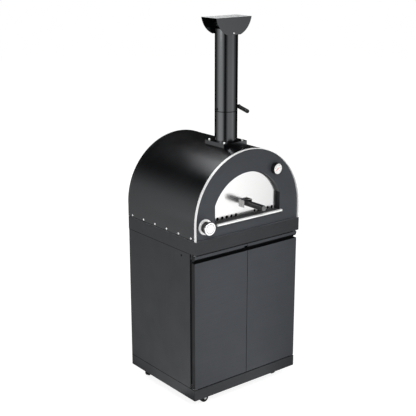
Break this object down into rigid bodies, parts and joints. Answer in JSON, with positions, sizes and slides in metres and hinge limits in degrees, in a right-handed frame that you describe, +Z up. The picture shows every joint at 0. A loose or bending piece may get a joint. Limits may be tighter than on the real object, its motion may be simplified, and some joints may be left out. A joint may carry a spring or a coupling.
{
  "type": "outdoor gas pizza oven on a cabinet",
  "caption": "Dark barrel-shaped gas pizza oven with a stainless trim band, a loose arched door, a flue with a damper and rain cap, on a two-door cabinet with casters.",
  "frame": {"origin": "on the floor, under the middle of the whole object's box", "axes": "+Z up, the mouth and the doors face -Y, +X to the right seen from the front"},
  "size_m": [0.7034, 0.7124, 1.9965],
  "materials": {
    "charcoal_paint": "satin powder coat, fine texture",
    "black_paint": "semi-gloss high-temperature paint",
    "inner_sheet": "satin",
    "stainless": "fine brushed",
    "chrome": "polished",
    "zinc_steel": "zinc plated",
    "cavity_steel": "plain, heat tinted",
    "black_plastic": "matte heat-resistant plastic",
    "wheel_rubber": "matte",
    "fire_tile": "rough fired clay",
    "ceramic_fibre": "soft fibre felt",
    "brass": "turned",
    "dial_white": "gloss",
    "needle_red": "gloss",
    "glass": "clear"
  },
  "bodies": {
    "oven_and_cabinet": {"plinth": "charcoal_paint", "cabinet_floor": "inner_sheet", "left_side_panel": "charcoal_paint", "right_side_panel": "charcoal_paint", "back_panel": "inner_sheet", "top_frame": "inner_sheet", "shelf": "inner_sheet", "hinge_brackets": "zinc_steel", "magnet_catches": "black_plastic", "caster_plates": "zinc_steel", "base_pan": "charcoal_paint", "hood": "black_paint", "front_trim": "stainless", "back_trim": "stainless", "fascia": "charcoal_paint", "rear_panel": "inner_sheet", "mouth_jamb": "black_paint", "mouth_ledge": "black_paint", "sill_bar": "stainless", "chamber": "cavity_steel", "insulation_blanket": "ceramic_fibre", "hearth_tiles": "fire_tile", "burner_tube": "cavity_steel", "gas_valve": "brass", "gas_pipe": "brass", "knob_bezel": "chrome", "thermometer_case": "black_plastic", "thermometer_dial": "dial_white", "thermometer_glass": "glass", "side_screws": "chrome", "flue_flange": "black_paint", "flange_bolts": "chrome", "lower_flue": "black_paint", "upper_flue": "black_paint", "rain_cap": "black_paint", "cap_rivets": "chrome"},
    "left_door": {"left_door_panel": "charcoal_paint", "left_door_liner": "inner_sheet"},
    "right_door": {"right_door_panel": "charcoal_paint", "right_door_liner": "inner_sheet"},
    "oven_door": {"oven_door_plate": "stainless", "oven_door_back": "cavity_steel", "oven_door_bracket": "cavity_steel", "oven_door_grip": "black_plastic"},
    "stem": {"valve_stem": "zinc_steel"},
    "knob": {"knob_core": "black_plastic", "knob_cap": "chrome"},
    "needle": {"thermometer_needle": "needle_red"},
    "damper": {"damper_blade": "zinc_steel", "damper_grip": "black_plastic"},
    "front_left_caster": {"front_left_caster_fork": "zinc_steel"},
    "front_left_wheel_body": {"front_left_wheel": "wheel_rubber"},
    "front_right_caster": {"front_right_caster_fork": "zinc_steel"},
    "front_right_wheel_body": {"front_right_wheel": "wheel_rubber"},
    "rear_left_caster": {"rear_left_caster_fork": "zinc_steel"},
    "rear_left_wheel_body": {"rear_left_wheel": "wheel_rubber"},
    "rear_right_caster": {"rear_right_caster_fork": "zinc_steel"},
    "rear_right_wheel_body": {"rear_right_wheel": "wheel_rubber"},
    "front_left_brake": {"front_left_brake_pedal": "black_plastic"},
    "front_right_brake": {"front_right_brake_pedal": "black_plastic"}
  },
  "joints": [
    {"name": "left_door_swing", "type": "hinge", "parent": "oven_and_cabinet", "child": "left_door", "pos_m": [-0.335, -0.22375, 0.49], "axis": [0, 0, 1], "range_deg": [-105, 0]},
    {"name": "right_door_swing", "type": "hinge", "parent": "oven_and_cabinet", "child": "right_door", "pos_m": [0.335, -0.22375, 0.49], "axis": [0, 0, 1], "range_deg": [0, 105]},
    {"name": "oven_door_tilt", "type": "hinge", "parent": "oven_and_cabinet", "child": "oven_door", "pos_m": [0.0015, -0.21125, 0.9963], "axis": [1, 0, 0], "range_deg": [0, 40]},
    {"name": "gas_turn", "type": "hinge", "parent": "oven_and_cabinet", "child": "stem", "pos_m": [-0.284, -0.23275, 0.998], "axis": [0, -1, 0], "range_deg": [0, 210]},
    {"name": "knob_push", "type": "slide", "parent": "stem", "child": "knob", "axis": [0, 1, 0], "range_m": [0, 0.004], "stiffness_N_per_m": 900, "springref_m": -0.003},
    {"name": "needle_turn", "type": "hinge", "parent": "oven_and_cabinet", "child": "needle", "pos_m": [0.18084, -0.25675, 1.22659], "axis": [0, 1, 0], "range_deg": [0, 250], "stiffness_Nm_per_rad": 0.002},
    {"name": "damper_turn", "type": "hinge", "parent": "oven_and_cabinet", "child": "damper", "pos_m": [0, -0.05375, 1.5353], "axis": [1, 0, 0], "range_deg": [-12.5, 77.5]},
    {"name": "front_left_swivel", "type": "hinge", "parent": "oven_and_cabinet", "child": "front_left_caster", "pos_m": [-0.266, -0.17175, 0.06], "axis": [0, 0, 1], "continuous": true},
    {"name": "front_left_roll", "type": "hinge", "parent": "front_left_caster", "child": "front_left_wheel_body", "pos_m": [-0.241, -0.17175, 0.025], "axis": [0, -1, 0], "continuous": true},
    {"name": "front_left_brake_lift", "type": "hinge", "parent": "front_left_caster", "child": "front_left_brake", "pos_m": [-0.226, -0.17175, 0.0552], "axis": [0, -1, 0], "range_deg": [0, 18]},
    {"name": "front_right_swivel", "type": "hinge", "parent": "oven_and_cabinet", "child": "front_right_caster", "pos_m": [0.266, -0.17175, 0.06], "axis": [0, 0, 1], "continuous": true},
    {"name": "front_right_roll", "type": "hinge", "parent": "front_right_caster", "child": "front_right_wheel_body", "pos_m": [0.266, -0.14675, 0.025], "axis": [1, 0, 0], "continuous": true},
    {"name": "front_right_brake_lift", "type": "hinge", "parent": "front_right_caster", "child": "front_right_brake", "pos_m": [0.266, -0.13175, 0.0552], "axis": [1, 0, 0], "range_deg": [0, 18]},
    {"name": "rear_left_swivel", "type": "hinge", "parent": "oven_and_cabinet", "child": "rear_left_caster", "pos_m": [-0.266, 0.27625, 0.06], "axis": [0, 0, 1], "continuous": true},
    {"name": "rear_left_roll", "type": "hinge", "parent": "rear_left_caster", "child": "rear_left_wheel_body", "pos_m": [-0.28918, 0.26688, 0.025], "axis": [-0.3746, 0.9272, 0], "continuous": true},
    {"name": "rear_right_swivel", "type": "hinge", "parent": "oven_and_cabinet", "child": "rear_right_caster", "pos_m": [0.266, 0.27625, 0.06], "axis": [0, 0, 1], "continuous": true},
    {"name": "rear_right_roll", "type": "hinge", "parent": "rear_right_caster", "child": "rear_right_wheel_body", "pos_m": [0.24138, 0.28059, 0.025], "axis": [0.1736, 0.9848, 0], "continuous": true}
  ]
}
